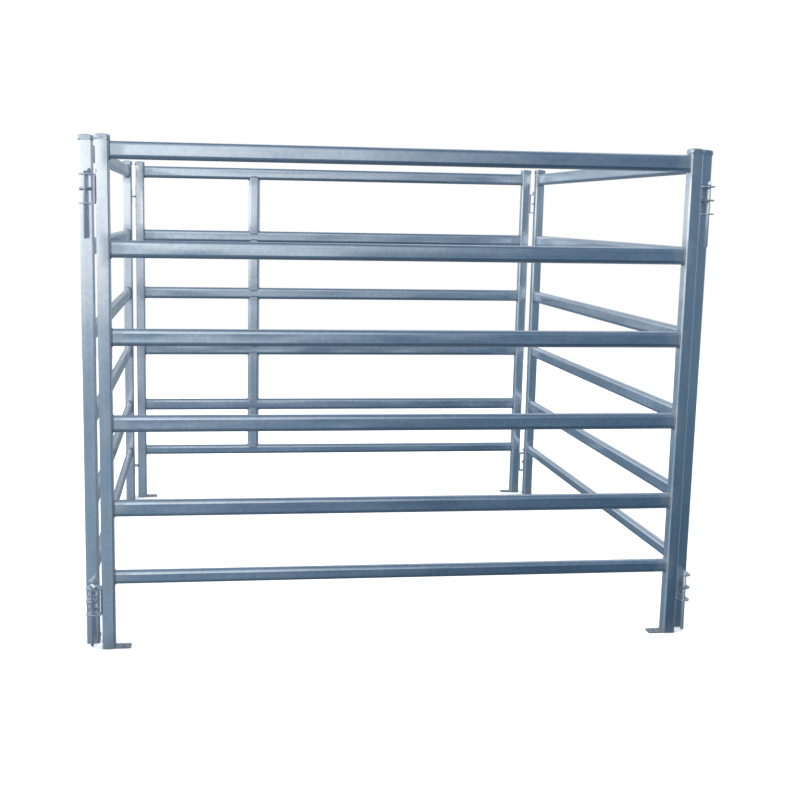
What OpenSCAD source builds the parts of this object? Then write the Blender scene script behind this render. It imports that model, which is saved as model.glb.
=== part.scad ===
// Livestock pen of four galvanised yard panels, pinned at the corners.
// One panel lies along +X with its left post at x = 0, its centre plane at
// y = 0 and the ground at z = 0. Seen from outside the pen, every left end
// carries the U-brackets and every right end carries the single lugs.

/* [Panel] */
// Width of one panel over its two posts
panel_w = 2125; // [1805:10:2405]
// Height of the post tubes above the ground
post_top = 1792; // [1780:2:1900]

/* [Posts] */
// Side of the square post tube
post_w = 45; // [44:1:50]
// Wall of the post tube
post_wall = 2.5; // [2:0.5:4]
// Outer corner radius of the post tube
post_corner = 6; // [5:0.5:8]

/* [Rails] */
// Height of the five upper rails
rail_h = 60; // [50:1:64]
// Height of the bottom rail
bottom_rail_h = 50; // [44:1:60]
// Depth of every rail, and the width of its rounded edges
rail_d = 30; // [24:1:40]
// Wall of the rail tube
rail_wall = 2; // [1.5:0.5:3]
// Clear gap under the bottom rail
bottom_gap = 235; // [230:1:245]
// Clear gap between the two lowest rails
low_gap = 195; // [180:1:200]
// Each of the three clear gaps in the middle
mid_gap = 242; // [230:1:244]
// Clear gap below the top rail
top_gap = 270; // [260:1:272]

/* [Stay] */
// Distance from the back panel's right post centre to the stay's centre
stay_from_post = 600; // [300:10:900]
// Gap left for the weld where the stay is coped over a rail
cope_gap = 0.2; // [0.1:0.1:1]

/* [Feet and caps] */
// How far a foot plate reaches past its post, into the panel
foot_reach = 55; // [45:1:90]
// Width of a foot plate
foot_w = 40; // [30:1:44]
// Thickness of a foot plate
foot_t = 5; // [4:1:8]
// Diameter of the peg hole in a foot plate
peg_hole_d = 14; // [10:1:18]
// Distance from the post to the peg hole's centre
peg_hole_at = 30; // [20:1:30]
// Wall of a pressed post cap
cap_wall = 2.3; // [1:0.1:2.5]
// Slack between a cap and its post
cap_slack = 0.2; // [0.1:0.1:0.3]
// How far a cap's skirt reaches down the post
cap_skirt = 13; // [8:1:16]
// Height of the domed top of a cap
cap_dome = 8; // [7:1:10]

/* [Corner hardware] */
// Distance from a post's centre to its corner pin's axis
hinge_reach = 60; // [58:1:66]
// Width of the bracket strap and of the lugs
strap_w = 40; // [34:1:42]
// Thickness of the bracket strap
strap_t = 5; // [4:1:8]
// Overall height of a U-bracket
bracket_h = 102; // [90:1:110]
// Outer radius of the bracket's two bends
bracket_bend = 8; // [7:1:10]
// Thickness of a single lug
lug_t = 6; // [5:1:14]
// Height of the upper brackets' centre
upper_level = 1617; // [1600:1:1625]
// Height of the lower brackets' centre
lower_level = 173; // [172:1:175]

/* [Drop pins] */
// Diameter of the pin
pin_d = 12; // [10:1:12]
// Diameter of the holes in the bracket's arms
arm_hole_d = 14; // [14:0.5:16]
// Diameter of the hole in a lug
lug_hole_d = 16; // [15:0.5:18]
// Length of the shank below the bracket's top face
pin_len = 218; // [180:1:220]
// Length of the bent-over handle, from the pin's axis
handle_len = 46; // [30:1:50]
// Centre-line radius of the bend
pin_bend = 12; // [11:1:14]
// Directions of the handles on the front, right, back and left panel, from its +X
handle_angles = [-65, 156, -90, 180]; // [-180:1:180]

/* [Hidden] */
$fn = 96;
SIDES = ["front", "right", "back", "left"];
LEVELS = ["upper", "lower"];

// Corner pins: offset of each axis beyond its post's outer face, and the
// distance between the two pin axes of one panel.
pin_offset = hinge_reach - post_w / 2;
pin_pitch = panel_w + 2 * pin_offset;

// Rail centre heights, from the bottom rail up. Rail 1 is the top rail.
z_6 = bottom_gap + bottom_rail_h / 2;
z_5 = z_6 + bottom_rail_h / 2 + low_gap + rail_h / 2;
z_4 = z_5 + rail_h + mid_gap;
z_3 = z_4 + rail_h + mid_gap;
z_2 = z_3 + rail_h + mid_gap;
z_1 = z_2 + rail_h + top_gap;
rail_z = [z_1, z_2, z_3, z_4, z_5, z_6];
function rail_height(i) = i == 6 ? bottom_rail_h : rail_h;

foot_l = post_w + foot_reach;
foot_corner = 4;
cap_w = post_w + 2 * (cap_slack + cap_wall);
cap_corner = post_corner + cap_slack + cap_wall;
dome_radius = 80;
inner_bend = 2;
tip_chamfer = 3;
// The bend begins just inside the upper hole, so that the pin hangs on it.
bend_start = 3;
levels = [upper_level, lower_level];
eps = 1;

// Rectangle with round corners, centred on the origin.
module rounded_rect(l, w, r) {
    square([l - 2 * r, w], center = true);
    square([l, w - 2 * r], center = true);
    for (x = [-1, 1], y = [-1, 1])
        translate([x * (l / 2 - r), y * (w / 2 - r)]) circle(r = r);
}

// Flat-sided oval: two straight sides and two half-round edges.
module oval(h, d) {
    square([d, h - d], center = true);
    for (y = [-1, 1]) translate([0, y * (h - d) / 2]) circle(d = d);
}

// Square tube standing on the foot plate.
module post() {
    translate([0, 0, foot_t])
        linear_extrude(height = post_top - foot_t)
            difference() {
                rounded_rect(post_w, post_w, post_corner);
                rounded_rect(post_w - 2 * post_wall, post_w - 2 * post_wall,
                             post_corner - post_wall);
            }
}

module left_post() {
    color("#BFCFDB") translate([post_w / 2, 0, 0]) post();
}

module right_post() {
    color("#BFCFDB") translate([panel_w - post_w / 2, 0, 0]) post();
}

// Rail tube between the posts, its ends square against their faces.
module rail(i) {
    color("#8FA6BA")
        translate([post_w, 0, rail_z[i - 1]])
            rotate([90, 0, 90])
                linear_extrude(height = panel_w - 2 * post_w)
                    difference() {
                        oval(rail_height(i), rail_d);
                        oval(rail_height(i) - 2 * rail_wall, rail_d - 2 * rail_wall);
                    }
}

// Vertical stay: one length of rail tube in each gap, coped over the rails.
module stay() {
    color("#9DB2C4")
        difference() {
            translate([panel_w - post_w / 2 - stay_from_post, 0, z_6])
                linear_extrude(height = z_1 - z_6)
                    rotate(90)
                        difference() {
                            oval(rail_h, rail_d);
                            oval(rail_h - 2 * rail_wall, rail_d - 2 * rail_wall);
                        }
            for (i = [1:6])
                translate([post_w, 0, rail_z[i - 1]])
                    rotate([90, 0, 90])
                        linear_extrude(height = panel_w - 2 * post_w)
                            oval(rail_height(i) + 2 * cope_gap, rail_d + 2 * cope_gap);
        }
}

// Pressed cap with a shallow domed top and a skirt round the post.
module cap() {
    translate([0, 0, post_top - cap_skirt])
        difference() {
            intersection() {
                linear_extrude(height = cap_skirt + cap_dome)
                    rounded_rect(cap_w, cap_w, cap_corner);
                translate([0, 0, cap_skirt + cap_dome - dome_radius])
                    sphere(r = dome_radius, $fn = 180);
            }
            translate([0, 0, -eps])
                linear_extrude(height = cap_skirt + eps)
                    rounded_rect(cap_w - 2 * cap_wall, cap_w - 2 * cap_wall,
                                 cap_corner - cap_wall);
        }
}

module caps() {
    color("#C9D6E0")
        for (x = [post_w / 2, panel_w - post_w / 2])
            translate([x, 0, 0]) cap();
}

// Foot plate under the left post: it covers the tube's end and reaches into
// the panel as a narrower tongue with a peg hole.
module foot() {
    linear_extrude(height = foot_t)
        difference() {
            union() {
                translate([post_w / 2, 0]) rounded_rect(post_w, post_w, post_corner);
                translate([foot_l / 2, 0]) rounded_rect(foot_l, foot_w, foot_corner);
            }
            translate([post_w + peg_hole_at, 0]) circle(d = peg_hole_d);
        }
}

module feet() {
    color("#6F8090") {
        foot();
        translate([panel_w, 0, 0]) mirror([1, 0, 0]) foot();
    }
}

// Outline of a strap end seen from above, rounded about the pin's axis.
module strap_end() {
    translate([0, -strap_w / 2]) square([pin_offset, strap_w]);
    translate([pin_offset, 0]) circle(d = strap_w);
}

// U-bracket bent from flat strap, its web against the post's outer face.
module bracket() {
    reach = pin_offset + strap_w;
    difference() {
        intersection() {
            mirror([1, 0, 0])
                linear_extrude(height = bracket_h, center = true) strap_end();
            rotate([90, 0, 0])
                linear_extrude(height = strap_w, center = true)
                    difference() {
                        translate([-reach, 0])
                            rounded_rect(2 * reach, bracket_h, bracket_bend);
                        translate([-reach - strap_t, 0])
                            rounded_rect(2 * reach, bracket_h - 2 * strap_t, inner_bend);
                    }
        }
        translate([-pin_offset, 0, 0])
            cylinder(d = arm_hole_d, h = bracket_h + 2 * eps, center = true);
    }
}

module brackets() {
    color("#A3B4C3")
        for (z = levels) translate([0, 0, z]) bracket();
}

// Single lug that stands between the neighbouring bracket's two arms.
module lug() {
    linear_extrude(height = lug_t, center = true)
        difference() {
            strap_end();
            translate([pin_offset, 0]) circle(d = lug_hole_d);
        }
}

module lugs() {
    color("#A3B4C3")
        for (z = levels) translate([panel_w, 0, z]) lug();
}

// Round drop pin: chamfered tip, shank, bend and handle. z = 0 is the
// bracket's top face.
module drop_pin(handle_angle) {
    translate([0, 0, -pin_len])
        cylinder(d1 = pin_d - tip_chamfer, d2 = pin_d, h = tip_chamfer);
    translate([0, 0, tip_chamfer - pin_len])
        cylinder(d = pin_d, h = pin_len - tip_chamfer - bend_start);
    rotate([0, 0, handle_angle]) translate([pin_bend, 0, -bend_start]) {
        rotate([90, 0, 0]) mirror([1, 0, 0])
            rotate_extrude(angle = 90) translate([pin_bend, 0]) circle(d = pin_d);
        translate([0, 0, pin_bend]) rotate([0, 90, 0])
            cylinder(d = pin_d, h = handle_len - pin_bend);
    }
}

module pin(level, handle_angle) {
    color("#7C8D9E")
        translate([-pin_offset, 0, levels[level] + bracket_h / 2])
            drop_pin(handle_angle);
}

// Puts panel s on its side of the square; panel 0 is the front one.
module on_side(s) {
    rotate([0, 0, 90 * s]) translate([-panel_w / 2, -pin_pitch / 2, 0]) children();
}

for (s = [0:3]) on_side(s) {
    left_post();
    right_post();
    for (i = [1:6])
        rail(i);
    caps();
    feet();
    brackets();
    lugs();
    for (k = [0:1])
        pin(k, handle_angles[s]);
}
on_side(2) stay();  // back_stay
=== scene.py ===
# %% [markdown]
# # A square pen of galvanised yard panels
# Four welded steel panels stand in a square, pinned at the corners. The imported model
# already holds every tube, bracket and pin at its real size, so this lesson is about looks.
# It covers the light, the zinc finishes, the weld beads and the small rounded edges.
# Another way would be to model the panels again here, but then the joints would no longer fit.

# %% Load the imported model
import math
import random

import bmesh
import bpy
from mathutils import Matrix, Vector


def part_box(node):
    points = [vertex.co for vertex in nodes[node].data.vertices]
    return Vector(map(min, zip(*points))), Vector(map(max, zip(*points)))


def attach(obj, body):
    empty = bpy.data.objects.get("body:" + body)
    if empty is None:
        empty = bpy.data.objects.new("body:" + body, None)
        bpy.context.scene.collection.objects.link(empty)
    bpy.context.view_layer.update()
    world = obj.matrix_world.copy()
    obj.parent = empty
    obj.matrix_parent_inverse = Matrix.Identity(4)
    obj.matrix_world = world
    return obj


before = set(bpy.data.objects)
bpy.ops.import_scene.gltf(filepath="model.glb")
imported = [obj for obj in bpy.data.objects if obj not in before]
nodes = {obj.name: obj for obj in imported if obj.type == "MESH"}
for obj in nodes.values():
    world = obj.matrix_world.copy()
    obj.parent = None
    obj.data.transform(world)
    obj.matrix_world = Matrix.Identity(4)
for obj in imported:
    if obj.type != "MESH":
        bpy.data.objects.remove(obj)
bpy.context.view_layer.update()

SIDES = ("front", "right", "back", "left")
RAILS = range(1, 7)

# %% [markdown]
# ## Camera
# A person of average height stands in front of the pen, a little left of its middle, and
# looks slightly down. A lens of about 50 mm keeps the verticals nearly straight. The small
# roll is what a hand-held camera gives. The angles turn one after the other: first the roll
# about the view axis, then the tilt, then the pan, which is how a tripod head works.

# %% Camera at eye height
MM = 0.001
EYE_HEIGHT = 1.550
EYE_SIDE = -0.696
EYE_BACK = -5.074
PAN_RIGHT = math.radians(7.12)
TILT_DOWN = math.radians(8.53)
ROLL = math.radians(0.99)
LENS_MM = 51.2
SHIFT_RIGHT = 0.0678
SHIFT_UP = -0.0213

camera_data = bpy.data.cameras.new("camera")
camera_data.lens = LENS_MM
camera_data.sensor_width = 36
camera_data.shift_x = SHIFT_RIGHT
camera_data.shift_y = SHIFT_UP
camera = bpy.data.objects.new("camera", camera_data)
bpy.context.scene.collection.objects.link(camera)
camera.matrix_world = (
    Matrix.Translation((EYE_SIDE, EYE_BACK, EYE_HEIGHT))
    @ Matrix.Rotation(-PAN_RIGHT, 4, "Z")
    @ Matrix.Rotation(math.pi / 2 - TILT_DOWN, 4, "X")
    @ Matrix.Rotation(ROLL, 4, "Z")
)
bpy.context.scene.camera = camera
print("camera at", tuple(round(v, 3) for v in camera.location), "lens", LENS_MM, "mm")

# %% [markdown]
# ## Helpers for colours and nodes
# Colours are picked as sRGB hex values, the way a paint chart gives them, and Blender wants
# linear light. One function turns one into the other. A second small function adds any
# shader node with its settings and its links, which keeps each material short to read.


# %% Colour and node helpers
def linear(hex_colour):
    """sRGB hex text to a linear RGBA tuple."""
    channels = [int(hex_colour[i:i + 2], 16) / 255 for i in (1, 3, 5)]
    light = [c / 12.92 if c <= 0.04045 else ((c + 0.055) / 1.055) ** 2.4 for c in channels]
    return (*light, 1.0)


def add(tree, kind, settings=None, inputs=None):
    """Adds a node. inputs maps a socket's name or number to a value or to another socket."""
    made = tree.nodes.new(kind)
    for name, value in (settings or {}).items():
        setattr(made, name, value)
    for socket, value in (inputs or {}).items():
        if isinstance(value, bpy.types.NodeSocket):
            tree.links.new(value, made.inputs[socket])
        else:
            made.inputs[socket].default_value = value
    return made


print("mid grey in linear light:", round(linear("#808080")[0], 3))

# %% [markdown]
# ## Light
# Zinc is a mirror that has been roughened, so it shows its surroundings more than its own
# colour. On a bright day those are dark ground, a step up to a bright sky at eye level, and
# a bluer overhead. The low sun stands behind the viewer's left shoulder, so the left of the
# yard is nearly white and the right is blue shade, with plain grey cloud beyond and away.
# The world holds three columns of colours over height, and blends them by direction. A
# ready-made sky would do the same, but it would be a file to carry along.

# %% Surroundings that the zinc reflects
scene = bpy.context.scene
scene.view_settings.view_transform = "Standard"
WHITE = "#FFFFFF"
# Height of a direction, -1 straight down to 1 straight up, and the colours on the sun side,
# in the shade, and away.
SURROUNDINGS = (
    (-1.00, "#66727D", "#44515E", "#565D64"),
    (-0.32, "#7A8B9B", "#394D5F", "#697077"),
    (-0.13, "#788A9C", "#52697A", "#778088"),
    (0.01, "#FDFDFD", "#576B7E", "#899197"),
    (0.35, "#EEEFF1", "#617588", "#B5BBC1"),
    (1.00, "#B2BFCA", "#5E7084", "#B5BCC5"),
)
YARD_BRIGHT = 1.35
# Each blend adds up how far a direction points right and away, and runs between two sums.
SUN_TO_SHADE = {"right": 1.0, "away": 0.25, "start": -0.42, "end": 0.12}
SHADE_TO_AWAY = {"right": 0.9, "away": 0.55, "start": 0.08, "end": 0.62}
print("surroundings of", len(SURROUNDINGS), "heights in three columns")

# %% [markdown]
# ## The three columns as a world
# A world gives a colour for each direction that a ray can leave in. Each column is a colour
# ramp over the height of that direction, and two smooth steps blend from one to the next.
# Rays from the camera see plain white instead, as with a studio backdrop.

# %% Build the world
world = bpy.data.worlds.new("bright_yard")
world.use_nodes = True
scene.world = world
tree = world.node_tree
tree.nodes.clear()
place = add(tree, "ShaderNodeTexCoord").outputs["Generated"]
split = add(tree, "ShaderNodeSeparateXYZ", inputs={0: place})
height = add(
    tree, "ShaderNodeMapRange",
    inputs={0: split.outputs["Z"], "From Min": -1.0, "From Max": 1.0},
)
columns = []
for column in (1, 2, 3):
    ramp = add(tree, "ShaderNodeValToRGB", inputs={0: height.outputs[0]})
    stops = ramp.color_ramp.elements
    stops.remove(stops[0])
    for row in SURROUNDINGS:
        stop = stops[0] if row is SURROUNDINGS[0] else stops.new((row[0] + 1) / 2)
        stop.position = (row[0] + 1) / 2
        stop.color = linear(row[column])
    columns.append(ramp.outputs["Color"])
# A Mix node has sockets of one name for numbers and colours: these are the colour ones.
MIX_A, MIX_B, MIX_OUT = 6, 7, 2
yard = columns[0]
for blend, column in ((SUN_TO_SHADE, columns[1]), (SHADE_TO_AWAY, columns[2])):
    aside = add(
        tree, "ShaderNodeMath", {"operation": "MULTIPLY"},
        {0: split.outputs["X"], 1: blend["right"]},
    )
    leaning = add(
        tree, "ShaderNodeMath", {"operation": "MULTIPLY_ADD"},
        {0: split.outputs["Y"], 1: blend["away"], 2: aside.outputs[0]},
    )
    amount = add(
        tree, "ShaderNodeMapRange", {"interpolation_type": "SMOOTHSTEP"},
        {0: leaning.outputs[0], "From Min": blend["start"], "From Max": blend["end"]},
    )
    yard = add(
        tree, "ShaderNodeMix", {"data_type": "RGBA"},
        {0: amount.outputs[0], MIX_A: yard, MIX_B: column},
    ).outputs[MIX_OUT]
lit = add(tree, "ShaderNodeBackground", inputs={"Color": yard, "Strength": YARD_BRIGHT})
plain = add(tree, "ShaderNodeBackground", inputs={"Color": linear(WHITE), "Strength": 1.0})
path = add(tree, "ShaderNodeLightPath")
both = add(
    tree, "ShaderNodeMixShader",
    inputs={0: path.outputs["Is Camera Ray"], 1: lit.outputs[0], 2: plain.outputs[0]},
)
add(tree, "ShaderNodeOutputWorld", inputs={0: both.outputs[0]})
print("world", world.name, "has", len(tree.nodes), "nodes")

# %% [markdown]
# ## Studio lights
# A wide overhead light makes the pale floor even and white out to its edge. The zinc
# doesn't reflect that light, or every upper face would turn white. One smaller soft light
# from the left adds the crisp line on the upper edges.


# %% Soft lights
PEN_MIDDLE = Vector((0, 0, 0.6))


def soft_light(name, place, size, watts):
    """A square area light at place, facing the middle of the pen."""
    data = bpy.data.lights.new(name, "AREA")
    data.size = size
    data.energy = watts
    lamp = bpy.data.objects.new(name, data)
    lamp.location = place
    lamp.rotation_euler = (PEN_MIDDLE - Vector(place)).to_track_quat("-Z", "Y").to_euler()
    scene.collection.objects.link(lamp)
    return lamp


soft_light("key_light", (-4.5, -5.5, 5.0), 3.0, 24)
overhead = soft_light("overhead_light", (0.0, 0.0, 10.0), 20.0, 2700)
overhead.visible_glossy = False
print("overhead light", overhead.data.size, "m wide,", round(overhead.location.z, 1), "m up")

# %% [markdown]
# ## Floor
# The floor is a plain pale sheet, large enough that its edge stays far from the pen. The
# zinc doesn't reflect it, so the undersides of the rails stay dark as they do outdoors.

# %% Pale floor
FLOOR_HALF = 7.0
FLOOR_PAINT = "#F4F5F6"
floor_mesh = bpy.data.meshes.new("floor")
corners = [(x * FLOOR_HALF, y * FLOOR_HALF, 0.0) for x, y in ((-1, -1), (1, -1), (1, 1), (-1, 1))]
floor_mesh.from_pydata(corners, [], [(0, 1, 2, 3)])
floor = bpy.data.objects.new("floor", floor_mesh)
scene.collection.objects.link(floor)
floor.visible_glossy = False
floor_paint = bpy.data.materials.new("pale_floor")
floor_paint.use_nodes = True
floor_shader = floor_paint.node_tree.nodes["Principled BSDF"]
floor_shader.inputs["Base Color"].default_value = linear(FLOOR_PAINT)
floor_shader.inputs["Roughness"].default_value = 0.9
floor_mesh.materials.append(floor_paint)
print("floor", 2 * FLOOR_HALF, "m square")

# %% [markdown]
# ## Where the parts meet
# Several finishes change near a weld: the heat burns the zinc off, and the spot is brushed
# over with zinc-rich paint. Those patches need the places of the welds. They are read from
# the boxes of the front panel, because the pen is the same after each quarter turn.

# %% Measure rails, posts and hardware
rail_boxes = {i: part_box(f"front_rail_{i}") for i in RAILS}
rail_heights = [(low.z + high.z) / 2 for low, high in rail_boxes.values()]
post_low, post_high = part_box("front_left_post")
lug_low, lug_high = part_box("front_lugs")
bracket_low, bracket_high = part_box("front_brackets")
foot_low, foot_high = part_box("front_feet")
PANEL_Y = (post_low.y + post_high.y) / 2
POST_OUT = -post_low.x
RAIL_END = -post_high.x
RAIL_HALF_DEPTH = (rail_boxes[1][1].y - rail_boxes[1][0].y) / 2
# Half a lug's thickness. The box of front_lugs can't tell it, because it holds two lugs.
LUG_HALF = 3 * MM
STRAP_HALF = (bracket_high.y - bracket_low.y) / 2
lug_levels = [lug_low.z + LUG_HALF, lug_high.z - LUG_HALF]
arm_reach = lug_levels[0] - bracket_low.z
print("rail centres (m):", [round(z, 3) for z in rail_heights])
print("corner hardware at (m):", [round(z, 3) for z in lug_levels], "+/-", round(arm_reach, 3))

# %% [markdown]
# ## Shared patterns
# All the steel here wears zinc, put on in different ways. Each finish is a metal shader with
# the default IOR, and its patterns are placed by object coordinates in metres. A texture
# wrapped on the tubes would also do it, but noise at real sizes stays sharp up close and
# needs no unwrapping. Grain is soft noise, stretched along a tube or even all round. Spangle
# is the pattern of flat zinc crystals, which is made of cells with one tone each.


# %% Metal, grain and spangle
def start_metal(name):
    """A new metal: its material, node tree, shader, and object coordinates in metres."""
    material = bpy.data.materials.new(name)
    material.use_nodes = True
    tree = material.node_tree
    shader = tree.nodes["Principled BSDF"]
    shader.inputs["Metallic"].default_value = 1.0
    place = add(tree, "ShaderNodeTexCoord")
    return material, tree, shader, place.outputs["Object"]


def grain(tree, place, size, detail=2.0):
    """Soft noise. size is its grain in millimetres along X, Y and Z."""
    scaled = add(
        tree, "ShaderNodeVectorMath", {"operation": "MULTIPLY"},
        {0: place, 1: [1 / (millimetres * MM) for millimetres in size]},
    )
    return add(
        tree, "ShaderNodeTexNoise",
        inputs={"Vector": scaled.outputs[0], "Scale": 1.0, "Detail": detail},
    ).outputs["Fac"]


def spangle(tree, place, size):
    """Zinc crystals of a size in millimetres: one random tone for each."""
    crystals = add(
        tree, "ShaderNodeTexVoronoi",
        inputs={"Vector": place, "Scale": 1 / (size * MM), "Randomness": 1.0},
    )
    return add(tree, "ShaderNodeSeparateColor", inputs={0: crystals.outputs["Color"]}).outputs[0]


print("a grain of 3 mm repeats", round(1 / (3 * MM)), "times in a metre")

# %% [markdown]
# ## Patches and marks
# Paint, soil and rubbed bands lie in certain places, and their borders are never straight.
# A distance in millimetres says where a patch ends, and a noise shifts that border. Scratches
# and scuffs are thin instead, so they are only the peaks of a noise. Painting masks by hand
# would work on one tube, but not on fifty pieces.


# %% Distance, patch borders and marks
def nearest(tree, height, levels):
    """Distance from a height to the nearest one of some levels, in metres."""
    least = None
    for level in levels:
        off = add(tree, "ShaderNodeMath", {"operation": "SUBTRACT"}, {0: height, 1: level})
        gap = add(tree, "ShaderNodeMath", {"operation": "ABSOLUTE"}, {0: off.outputs[0]})
        if least is None:
            least = gap
        else:
            least = add(
                tree, "ShaderNodeMath", {"operation": "MINIMUM"},
                {0: least.outputs[0], 1: gap.outputs[0]},
            )
    return least.outputs[0]


def patch_edge(tree, value, wobble, border, start=0.0):
    """0 to 1 over the border of a patch, made uneven by a wobble.

    border says where it is 0, where it is 1, and how far the wobble shifts it, all in
    millimetres past start.
    """
    zero, one, shift = border
    uneven = add(
        tree, "ShaderNodeMath", {"operation": "MULTIPLY_ADD"},
        {0: wobble, 1: shift * MM, 2: value},
    )
    return add(
        tree, "ShaderNodeMapRange", {"interpolation_type": "SMOOTHSTEP"},
        {0: uneven.outputs[0], "From Min": start + zero * MM, "From Max": start + one * MM},
    ).outputs[0]


def marks(tree, noise, start, end):
    """Separate marks: only the highest parts of a noise, with clean metal between them."""
    raised = add(tree, "ShaderNodeMath", {"operation": "SUBTRACT"}, {0: noise, 1: start})
    return add(
        tree, "ShaderNodeMapRange", {"interpolation_type": "SMOOTHSTEP"},
        {0: raised.outputs[0], "From Min": 0.0, "From Max": end - start},
    ).outputs[0]


print("patches and marks: nearest, patch_edge, marks")

# %% [markdown]
# ## Layers
# A worn surface is built up as it is in life: metal, then paint, then soil. The same is done
# with its colour, its roughness and its relief. Each layer has a share or a depth, so it is
# easy to see how much of the finish it makes.


# %% Stacks of colours, shares and bumps
def layered(tree, colour, covers):
    """A colour with others over it in turn. Each cover is its pattern and its hex colour."""
    under = linear(colour)
    for pattern, cover in covers:
        under = add(
            tree, "ShaderNodeMix", {"data_type": "RGBA"},
            {0: pattern, MIX_A: under, MIX_B: linear(cover)},
        ).outputs[MIX_OUT]
    return under


def total(tree, parts):
    """Sum of patterns, each times its share."""
    whole = 0.0
    for pattern, share in parts:
        whole = add(
            tree, "ShaderNodeMath", {"operation": "MULTIPLY_ADD"},
            {0: pattern, 1: share, 2: whole},
        ).outputs[0]
    return whole


def relief(tree, shader, layers):
    """Stacks bumps on the surface. Each layer is a pattern and its depth in millimetres."""
    under = None
    for pattern, depth in layers:
        inputs = {"Height": pattern, "Distance": depth * MM, "Strength": 1.0}
        if under is not None:
            inputs["Normal"] = under
        under = add(tree, "ShaderNodeBump", inputs=inputs).outputs[0]
    tree.links.new(under, shader.inputs["Normal"])


def dress(names, material):
    """Puts a finish on CAD nodes."""
    for name in names:
        for slot in nodes[name].material_slots:
            slot.material = material
    print(material.name, "on", len(names), "nodes")


print("stacks: layered for colours, total for shares, relief for bumps")

# %% [markdown]
# ## Finish: in-line galvanised tube
# The tubes are rolled from strip, welded along a seam and drawn through molten zinc. The eye
# gets a smooth satin metal with a blue tint, streaks along the tube, slow mottling a hand
# wide, and a tight crystal pattern called spangle. The walls are never quite flat, which
# bends the reflections a little. Real draw lines are under a millimetre apart, too fine to
# show, so they are drawn 3 mm apart with wider streaks of 11 mm over them.

# %% Colours, roughness and patch borders
TUBE_PALE = "#E6EEF6"
TUBE_DEEP = "#B6C5D4"
# The posts' paler copy of the tube colours is painted sheen for their brighter reflections.
POST_PALE_PAINTED_SHEEN = "#F6FAFD"
POST_DEEP_PAINTED_SHEEN = "#CEDAE5"
PATCH = "#C4CED6"
SOIL = "#6E675C"
TUBE_ROUGH = 0.17
PATCH_ROUGH = 0.46
SOIL_ROUGH = 0.80
PATCH_SHARE = 0.6
# Borders of the painted patches and of the soil, for patch_edge.
BESIDE_RAIL = (92, 46, 40)
INNER_SIDE = (58, 24, 36)
RAIL_TIP = (-36, 10, 60)
SOIL_LINE = (150, -60, 130)
SPANGLE = 14
print("spangle of", SPANGLE, "mm, about", round(1 / (SPANGLE * MM)), "crystals in a metre")

# %% [markdown]
# ## Tube finish with painted weld patches
# One function serves all tubes, because they differ only in direction, and in a paler copy
# of the zinc on the posts: painted sheen for the brighter reflections that upright tubes
# show. Near each weld the zinc-rich paint is duller and greyer than the tube, and at the
# ground a thin film of soil rises a hand's breadth up the posts.

# %% Tube finish
AXES = "XYZ"


def along(axis, length, across):
    """Grain sizes in millimetres for a pattern stretched along one axis."""
    return [length if name == axis else across for name in AXES]


def tube_finish(name, tube_axis, panel_axis):
    """Galvanised tube that runs along tube_axis in a panel that runs along panel_axis."""
    material, tree, shader, place = start_metal(name)
    split = add(tree, "ShaderNodeSeparateXYZ", inputs={0: place})
    height = split.outputs["Z"]
    lines = grain(tree, place, along(tube_axis, 900, 3))
    streaks = grain(tree, place, along(tube_axis, 700, 11), 1.0)
    mottle = grain(tree, place, along(tube_axis, 210, 70), 3.0)
    crystals = spangle(tree, place, SPANGLE)
    waves = grain(tree, place, along(tube_axis, 260, 55), 0.0)
    brushed = grain(tree, place, (30, 30, 30), 2.0)

    sideways = add(
        tree, "ShaderNodeMath", {"operation": "ABSOLUTE"}, {0: split.outputs[panel_axis]},
    ).outputs[0]
    if tube_axis == "Z":
        beside = nearest(tree, height, rail_heights)
        round_weld = patch_edge(tree, beside, brushed, BESIDE_RAIL)
        inner = patch_edge(tree, sideways, brushed, INNER_SIDE, RAIL_END)
        patch = add(
            tree, "ShaderNodeMath", {"operation": "MULTIPLY"}, {0: round_weld, 1: inner},
        ).outputs[0]
    else:
        patch = patch_edge(tree, sideways, brushed, RAIL_TIP, RAIL_END)
    patch = total(tree, [(patch, PATCH_SHARE)])
    soil = patch_edge(tree, height, mottle, SOIL_LINE)

    tone = total(
        tree, [(mottle, 0.55), (crystals, 0.22), (streaks, 0.35), (lines, 0.20), (1.0, -0.16)],
    )
    # Upright tubes take the paler copy, a painted sheen for their brighter reflections.
    deep, pale = (POST_DEEP_PAINTED_SHEEN, POST_PALE_PAINTED_SHEEN) if tube_axis == "Z" else (TUBE_DEEP, TUBE_PALE)
    colour = layered(tree, deep, [(tone, pale), (patch, PATCH), (soil, SOIL)])
    tree.links.new(colour, shader.inputs["Base Color"])
    rough = total(tree, [(mottle, 0.10), (lines, 0.08), (1.0, TUBE_ROUGH - 0.09)])
    for pattern, cover_rough in ((patch, PATCH_ROUGH), (soil, SOIL_ROUGH)):
        rough = add(
            tree, "ShaderNodeMapRange",
            inputs={0: pattern, "To Min": rough, "To Max": cover_rough},
        ).outputs[0]
    tree.links.new(rough, shader.inputs["Roughness"])
    relief(tree, shader, [(waves, 2.4), (streaks, 0.04), (crystals, 0.012), (brushed, 0.06)])
    return material


print("a tube's streaks are", along("X", 700, 11), "mm along X, Y and Z")

# %% [markdown]
# ## Dress the tubes
# A pattern along a tube needs the tube's direction. Rails run along X in two panels and along
# Y in the other two, and posts stand along Z in both, so four materials cover them. The
# stay has a fifth, with the posts' paler tone of painted sheen and its own patches where it
# crosses the rails.

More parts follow.
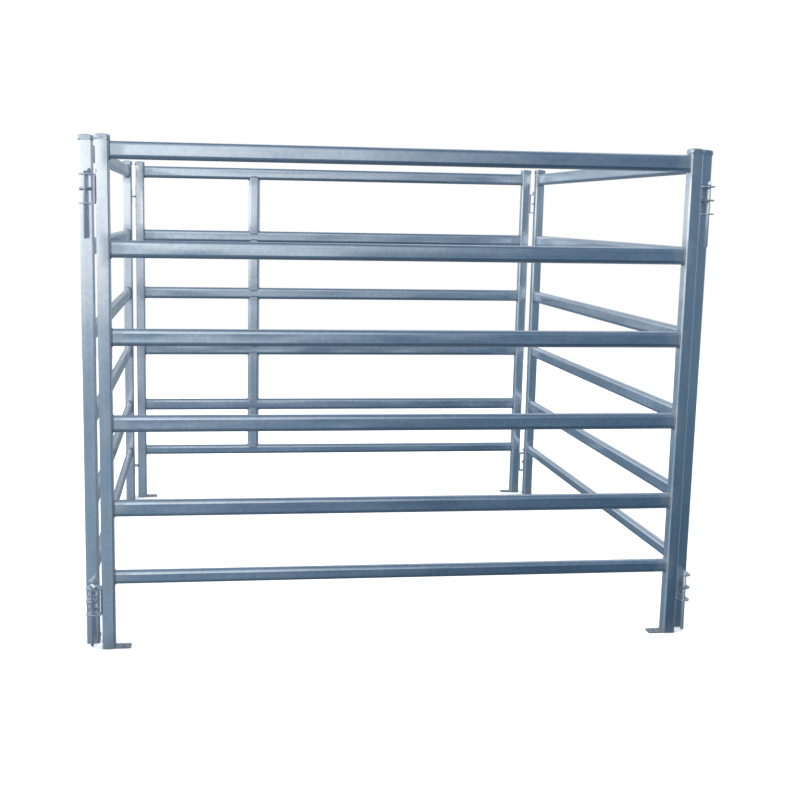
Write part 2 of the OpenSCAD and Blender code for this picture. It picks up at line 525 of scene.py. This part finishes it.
# %% Dress rails, posts and stay
POSTS = ("left_post", "right_post")
for panel_axis, sides in (("X", ("front", "back")), ("Y", ("right", "left"))):
    level_name = f"tube_along_{panel_axis.lower()}"
    upright_name = f"post_tube_in_{panel_axis.lower()}_panels"
    rail_nodes = [f"{side}_rail_{i}" for side in sides for i in RAILS]
    post_nodes = [f"{side}_{post}" for side in sides for post in POSTS]
    dress(rail_nodes, tube_finish(level_name, panel_axis, panel_axis))
    dress(post_nodes, tube_finish(upright_name, "Z", panel_axis))
dress(["back_stay"], tube_finish("stay_tube", "Z", "X"))

# %% [markdown]
# ## Finish: hot-dip galvanised strap
# The brackets and lugs are cut from flat bar, bent, and dipped after cutting, so the zinc
# lies thicker and duller on them, with small crystals, runs and a darker tone. A rougher
# metal with a stronger relief gives that.

# %% Strap finish for brackets and lugs
STRAP_DEEP = "#9FAEBC"
STRAP_PALE = "#E6EEF5"
strap_zinc, tree, shader, place = start_metal("hot_dip_strap")
crystals = spangle(tree, place, 7)
mottle = grain(tree, place, (35, 35, 35), 3.0)
runs = grain(tree, place, (9, 9, 40), 2.0)
tone = total(tree, [(mottle, 0.7), (crystals, 0.35), (runs, 0.3), (1.0, -0.2)])
tree.links.new(layered(tree, STRAP_DEEP, [(tone, STRAP_PALE)]), shader.inputs["Base Color"])
rough = total(tree, [(crystals, 0.10), (mottle, 0.18), (1.0, 0.26)])
tree.links.new(rough, shader.inputs["Roughness"])
relief(tree, shader, [(mottle, 0.5), (runs, 0.25), (crystals, 0.05)])
dress([f"{side}_{part}" for side in SIDES for part in ("brackets", "lugs")], strap_zinc)

# %% [markdown]
# ## Finish: pressed caps
# The post caps are stamped from zinc-coated sheet. The press leaves them smooth, and gloves
# and ropes then rub scuffs into the dome, which roughen the metal and dull it a little. Real
# scuffs are too fine to show, so they are drawn 3 mm wide.

# %% Cap finish
CAP_DEEP = "#9FB0C0"
CAP_PALE = "#E8F0F7"
cap_zinc, tree, shader, place = start_metal("pressed_cap_sheet")
mottle = grain(tree, place, (28, 28, 28), 3.0)
scuffs = marks(tree, grain(tree, place, (3, 14, 6), 4.0), 0.52, 0.68)
tone = total(tree, [(mottle, 0.9), (scuffs, -0.25), (1.0, 0.05)])
tree.links.new(layered(tree, CAP_DEEP, [(tone, CAP_PALE)]), shader.inputs["Base Color"])
rough = total(tree, [(scuffs, 0.22), (mottle, 0.10), (1.0, 0.20)])
tree.links.new(rough, shader.inputs["Roughness"])
relief(tree, shader, [(mottle, 0.25), (scuffs, 0.04)])
dress([f"{side}_caps" for side in SIDES], cap_zinc)

# %% [markdown]
# ## Finish: foot plates
# The feet are dipped like the strap, and then stand in mud and are dragged over stones. Dull
# zinc shows between patches of dried soil, which is no metal, and lighter scratches. Those
# are drawn 2 mm wide, because real ones are too fine to show.

# %% Foot plate finish
FOOT_DEEP = "#76838F"
FOOT_PALE = "#C6D1DB"
foot_zinc, tree, shader, place = start_metal("worn_foot_plate")
mottle = grain(tree, place, (22, 22, 22), 4.0)
crystals = spangle(tree, place, 6)
scratches = marks(tree, grain(tree, place, (2, 26, 8), 3.0), 0.56, 0.66)
dried = marks(tree, mottle, 0.44, 0.66)
tone = total(tree, [(mottle, 0.5), (crystals, 0.3), (scratches, 0.4)])
cake = total(tree, [(dried, 0.75)])
colour = layered(tree, FOOT_DEEP, [(tone, FOOT_PALE), (cake, SOIL)])
tree.links.new(colour, shader.inputs["Base Color"])
rough = total(tree, [(dried, 0.35), (scratches, -0.10), (1.0, 0.42)])
tree.links.new(rough, shader.inputs["Roughness"])
metal_share = total(tree, [(dried, -0.65), (1.0, 1.0)])
tree.links.new(metal_share, shader.inputs["Metallic"])
relief(tree, shader, [(mottle, 0.8), (scratches, 0.12)])
dress([f"{side}_feet" for side in SIDES], foot_zinc)

# %% [markdown]
# ## Finish: drop pins
# The pins are bent from drawn round bar and zinc plated, which is thin and even. Where a pin
# turns and slides in the bracket's arms and the lug, the plating is rubbed down to smoother,
# greyer steel. The rubbed bands follow the heights of those holes. The rings that drawing
# leaves round the bar are too fine to show, so they are drawn 1.6 mm apart.

# %% Pin finish
PIN_DEEP = "#CBD6E0"
PIN_PALE = "#F8FBFD"
BARE_STEEL = "#B4B8BC"
RUBBED_BAND = (11, 5, 5)
# Half the thickness of a bracket's arm.
ARM_HALF = 2.5 * MM
hole_heights = []
for level in lug_levels:
    hole_heights += [level - arm_reach + ARM_HALF, level, level + arm_reach - ARM_HALF]
pin_zinc, tree, shader, place = start_metal("plated_drop_pin")
split = add(tree, "ShaderNodeSeparateXYZ", inputs={0: place})
mottle = grain(tree, place, (12, 12, 30), 3.0)
rings = grain(tree, place, (40, 40, 1.6), 1.0)
beside = nearest(tree, split.outputs["Z"], hole_heights)
rubbed = patch_edge(tree, beside, mottle, RUBBED_BAND)
tone = total(tree, [(mottle, 0.7), (rings, 0.2)])
wear = total(tree, [(rubbed, 0.5)])
colour = layered(tree, PIN_DEEP, [(tone, PIN_PALE), (wear, BARE_STEEL)])
tree.links.new(colour, shader.inputs["Base Color"])
rough = total(tree, [(rubbed, -0.10), (rings, 0.12), (1.0, 0.26)])
tree.links.new(rough, shader.inputs["Roughness"])
relief(tree, shader, [(mottle, 0.12), (rings, 0.03)])
LEVELS = ("upper", "lower")
dress([f"{side}_{level}_pin" for side in SIDES for level in LEVELS], pin_zinc)

# %% [markdown]
# ## Rounded cut edges
# Sheared and sawn steel never has a perfectly sharp edge: the tool rolls it over and the
# zinc fills it. A bevel of under a millimetre catches a thin line of light there. A bevel
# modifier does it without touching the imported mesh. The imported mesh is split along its
# edges, so a weld modifier joins it first, or the bevel would find nothing to round.

# %% Bevel the cut edges
EDGE_ROUND = {
    "brackets": 0.9, "lugs": 0.9, "feet": 0.8, "caps": 0.7, "upper_pin": 0.6, "lower_pin": 0.6,
}
SAME_POINT = 0.01 * MM
SHARP_EDGE = math.radians(35)
for side in SIDES:
    for part, millimetres in EDGE_ROUND.items():
        piece = nodes[f"{side}_{part}"]
        join = piece.modifiers.new("join_faces", "WELD")
        join.merge_threshold = SAME_POINT
        edge = piece.modifiers.new("rolled_edge", "BEVEL")
        edge.width = millimetres * MM
        edge.segments = 2
        edge.limit_method = "ANGLE"
        edge.angle_limit = SHARP_EDGE
print("rounded the edges of", len(SIDES) * len(EDGE_ROUND), "nodes")

# %% [markdown]
# ## Weld beads
# Each rail end is welded all round to its post. A hand-laid bead is a row of overlapping
# drops, so it swells and narrows every few millimetres. The line of a joint is first cut
# into short steps: round a flat-sided oval for a rail, or straight along a strap.

# %% Lines that the beads follow
STEP = 1.1 * MM


def spaced(corners, closed):
    """Points every STEP along a line of corners."""
    ends = corners[1:] + corners[:1] if closed else corners[1:]
    points = []
    for start, end in zip(corners, ends):
        count = max(1, round((end - start).length / STEP))
        points += [start.lerp(end, i / count) for i in range(count)]
    if not closed:
        points.append(corners[-1])
    return points


def oval(height, width, arc=10):
    """Corner points of an upright flat-sided oval across X."""
    radius = width / 2
    straight = height / 2 - radius
    top = [
        Vector((0, radius * math.cos(turn), straight + radius * math.sin(turn)))
        for turn in (math.pi * i / arc for i in range(arc + 1))
    ]
    return top + [-corner for corner in top]


rail_joint = spaced(oval(60 * MM, 30 * MM), True)
print("one rail's bead is", round(len(rail_joint) * STEP / MM), "mm long")

# %% [markdown]
# ## Sweep a rippled bead
# The bead is swept in mesh code: a ring of points at each step along the joint, larger and
# smaller in turn, with a little chance in it. A bevelled curve could follow the joint too,
# but it can't carry the ripple so simply. Half of each bead lies inside the steel, as the
# real one is fused into it.

# %% Bead sweep
random.seed(7)
RING = 8
RIPPLE = 3.4 * MM
# Shares of the bead's radius: its valleys, the height of a drop, chance, and a loose end.
VALLEY = 0.90
DROP = 0.14
CHANCE = 0.05
LOOSE_END = 0.45


def bead(mesh, corners, axis, radius, closed=True):
    """Adds a weld bead to a bmesh. axis stands across the joint's line everywhere."""
    points = spaced(corners, closed)
    rings = []
    run = random.uniform(0, RIPPLE)
    for number, point in enumerate(points):
        before = points[number - 1] if closed or number > 0 else point
        after = points[(number + 1) % len(points)] if closed or number + 1 < len(points) else point
        ahead = (after - before).normalized()
        across = ahead.cross(axis).normalized()
        run += (after - before).length / 2
        swell = VALLEY + DROP * abs(math.sin(math.pi * run / RIPPLE))
        swell += random.uniform(-CHANCE, CHANCE)
        if not closed and number in (0, len(points) - 1):
            swell = LOOSE_END
        rings.append([
            mesh.verts.new(
                point + radius * swell * (math.cos(angle) * across + math.sin(angle) * axis)
            )
            for angle in (2 * math.pi * i / RING for i in range(RING))
        ])
    pairs = list(zip(rings, rings[1:]))
    if closed:
        pairs.append((rings[-1], rings[0]))
    else:
        mesh.faces.new(rings[0])
        mesh.faces.new(rings[-1][::-1])
    for first, second in pairs:
        for i in range(RING):
            j = (i + 1) % RING
            mesh.faces.new((first[i], second[i], second[j], first[j]))


print("a ring of", RING, "points, and a drop every", round(RIPPLE / MM, 1), "mm")

# %% [markdown]
# ## Finish: weld beads
# The beads are bare steel after welding and are brushed with zinc-rich paint, which is zinc
# dust in resin. It dries to a dull, slightly grainy silver, so it is a metal with a high
# roughness, darker here and there where smoke stays. The dust is far too fine to show, so
# its grain is drawn at 1.2 mm.

# %% Weld finish
WELD_DEEP = "#7F8A94"
WELD_PALE = "#C3CDD6"
weld_zinc, tree, shader, place = start_metal("painted_weld")
mottle = grain(tree, place, (9, 9, 9), 3.0)
dust = grain(tree, place, (1.2, 1.2, 1.2), 2.0)
tone = total(tree, [(mottle, 0.9), (dust, 0.3), (1.0, -0.1)])
tree.links.new(layered(tree, WELD_DEEP, [(tone, WELD_PALE)]), shader.inputs["Base Color"])
rough = total(tree, [(dust, 0.15), (mottle, 0.12), (1.0, 0.38)])
tree.links.new(rough, shader.inputs["Roughness"])
relief(tree, shader, [(mottle, 0.4), (dust, 0.1)])
print("weld paint is a metal of roughness about 0.5")

# %% [markdown]
# ## Beads on every panel
# The beads of a panel are four pieces: rails, brackets, lugs and feet. Each has a function
# that lays its beads in place on the front panel, at the heights and edges measured above.

# %% Beads of the front panel
BEAD = 3.4 * MM
SMALL_BEAD = 2.8 * MM
PROUD = 0.6 * MM
# How far the beads stop short of the strap's ends on brackets, lugs and feet.
BRACKET_SHORT = 10 * MM
LUG_SHORT = 1 * MM
FOOT_SHORT = 4 * MM
ACROSS_X = Vector((1, 0, 0))
ENDS = (-1, 1)


def moved(corners, place):
    """The corners, moved to a place."""
    return [corner + Vector(place) for corner in corners]


def rail_beads(mesh):
    """One loop round each end of each rail."""
    for (low, high), height in zip(rail_boxes.values(), rail_heights):
        outline = oval(high.z - low.z + 2 * PROUD, high.y - low.y + 2 * PROUD)
        for end in ENDS:
            bead(mesh, moved(outline, (end * (RAIL_END - PROUD), PANEL_Y, height)), ACROSS_X, BEAD)


def bracket_beads(mesh):
    """A vertical bead down each side of each bracket's web, on the left post."""
    reach = arm_reach - BRACKET_SHORT
    for level in lug_levels:
        for end in ENDS:
            line = [Vector((0, 0, -reach)), Vector((0, 0, reach))]
            place = (-POST_OUT - PROUD, PANEL_Y + end * STRAP_HALF, level)
            bead(mesh, moved(line, place), ACROSS_X, BEAD, closed=False)


def lug_beads(mesh):
    """A loop round each lug, on the right post."""
    wide = STRAP_HALF - LUG_SHORT
    signs = ((1, 1), (-1, 1), (-1, -1), (1, -1))
    outline = [Vector((0, y * wide, z * LUG_HALF)) for y, z in signs]
    for level in lug_levels:
        bead(mesh, moved(outline, (POST_OUT + PROUD, PANEL_Y, level)), ACROSS_X, SMALL_BEAD)


def foot_beads(mesh):
    """A bead across each foot plate, against the inner face of its post."""
    wide = STRAP_HALF - FOOT_SHORT
    for end in ENDS:
        line = [Vector((0, -wide, 0)), Vector((0, wide, 0))]
        place = (end * (RAIL_END - PROUD), PANEL_Y, foot_high.z + PROUD)
        bead(mesh, moved(line, place), ACROSS_X, SMALL_BEAD, closed=False)


widths = [round(2 * radius / MM, 1) for radius in (BEAD, SMALL_BEAD)]
print("beads are", widths[0], "mm wide on rails and brackets, and", widths[1], "mm elsewhere")

# %% [markdown]
# ## Turn the beads round the pen
# A quarter turn about the pen's middle carries the front panel's beads to the next panel,
# which is also how the panels themselves are laid out. Every piece rides on its panel.


# %% Build every panel's beads
def weld_piece(name, build, turns, body):
    """A welds piece built by a function, turned round the pen's middle."""
    form = bmesh.new()
    build(form)
    form.transform(Matrix.Rotation(turns * math.pi / 2, 4, "Z"))
    bmesh.ops.recalc_face_normals(form, faces=form.faces)
    mesh = bpy.data.meshes.new(name)
    form.to_mesh(mesh)
    form.free()
    mesh.shade_smooth()
    mesh.materials.append(weld_zinc)
    piece = bpy.data.objects.new(name, mesh)
    scene.collection.objects.link(piece)
    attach(piece, body)
    return len(mesh.vertices)


WELDS = (
    ("rail_welds", rail_beads, "rail_tube"),
    ("bracket_welds", bracket_beads, "corner_hardware"),
    ("lug_welds", lug_beads, "corner_hardware"),
    ("foot_welds", foot_beads, "foot_plate"),
)
for turns, side in enumerate(SIDES):
    counts = [
        weld_piece(f"{side}_{name}", build, turns, f"{side}_panel")
        for name, build, slot in WELDS
    ]
    print(side, "welds have", sum(counts), "points")

# %% [markdown]
# ## Beads of the stay
# The stay in the back panel is cut to fit over the round edges of the rails, which welders
# call a coped joint. Its bead follows both shapes at once: the stay's oval seen from above,
# and the rail's round edge seen from the end. The height of each point comes from a circle.

# %% Saddle beads where the stay meets the rails
stay_low, stay_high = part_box("back_stay")
STAY_X = (stay_low.x + stay_high.x) / 2
UP = Vector((0, 0, 1))
NEXT_GAP = 0.1


def stay_beads(mesh):
    """Loops above and below each rail that the stay crosses."""
    outline = oval(stay_high.x - stay_low.x + 2 * PROUD, stay_high.y - stay_low.y + 2 * PROUD)
    radius = RAIL_HALF_DEPTH + PROUD
    for (low, high), height in zip(rail_boxes.values(), rail_heights):
        straight = (high.z - low.z) / 2 - RAIL_HALF_DEPTH
        for end in ENDS:
            if not stay_low.z < height + end * NEXT_GAP < stay_high.z:
                continue
            loop = []
            for corner in outline:
                rise = math.sqrt(max(radius ** 2 - corner.y ** 2, 0))
                loop.append(Vector((corner.z, corner.y, end * (straight + rise))))
            bead(mesh, moved(loop, (STAY_X, -PANEL_Y, height)), UP, SMALL_BEAD)


points = weld_piece("back_stay_welds", stay_beads, 0, "back_panel")
print("stay welds have", points, "points, at x =", round(STAY_X, 3))
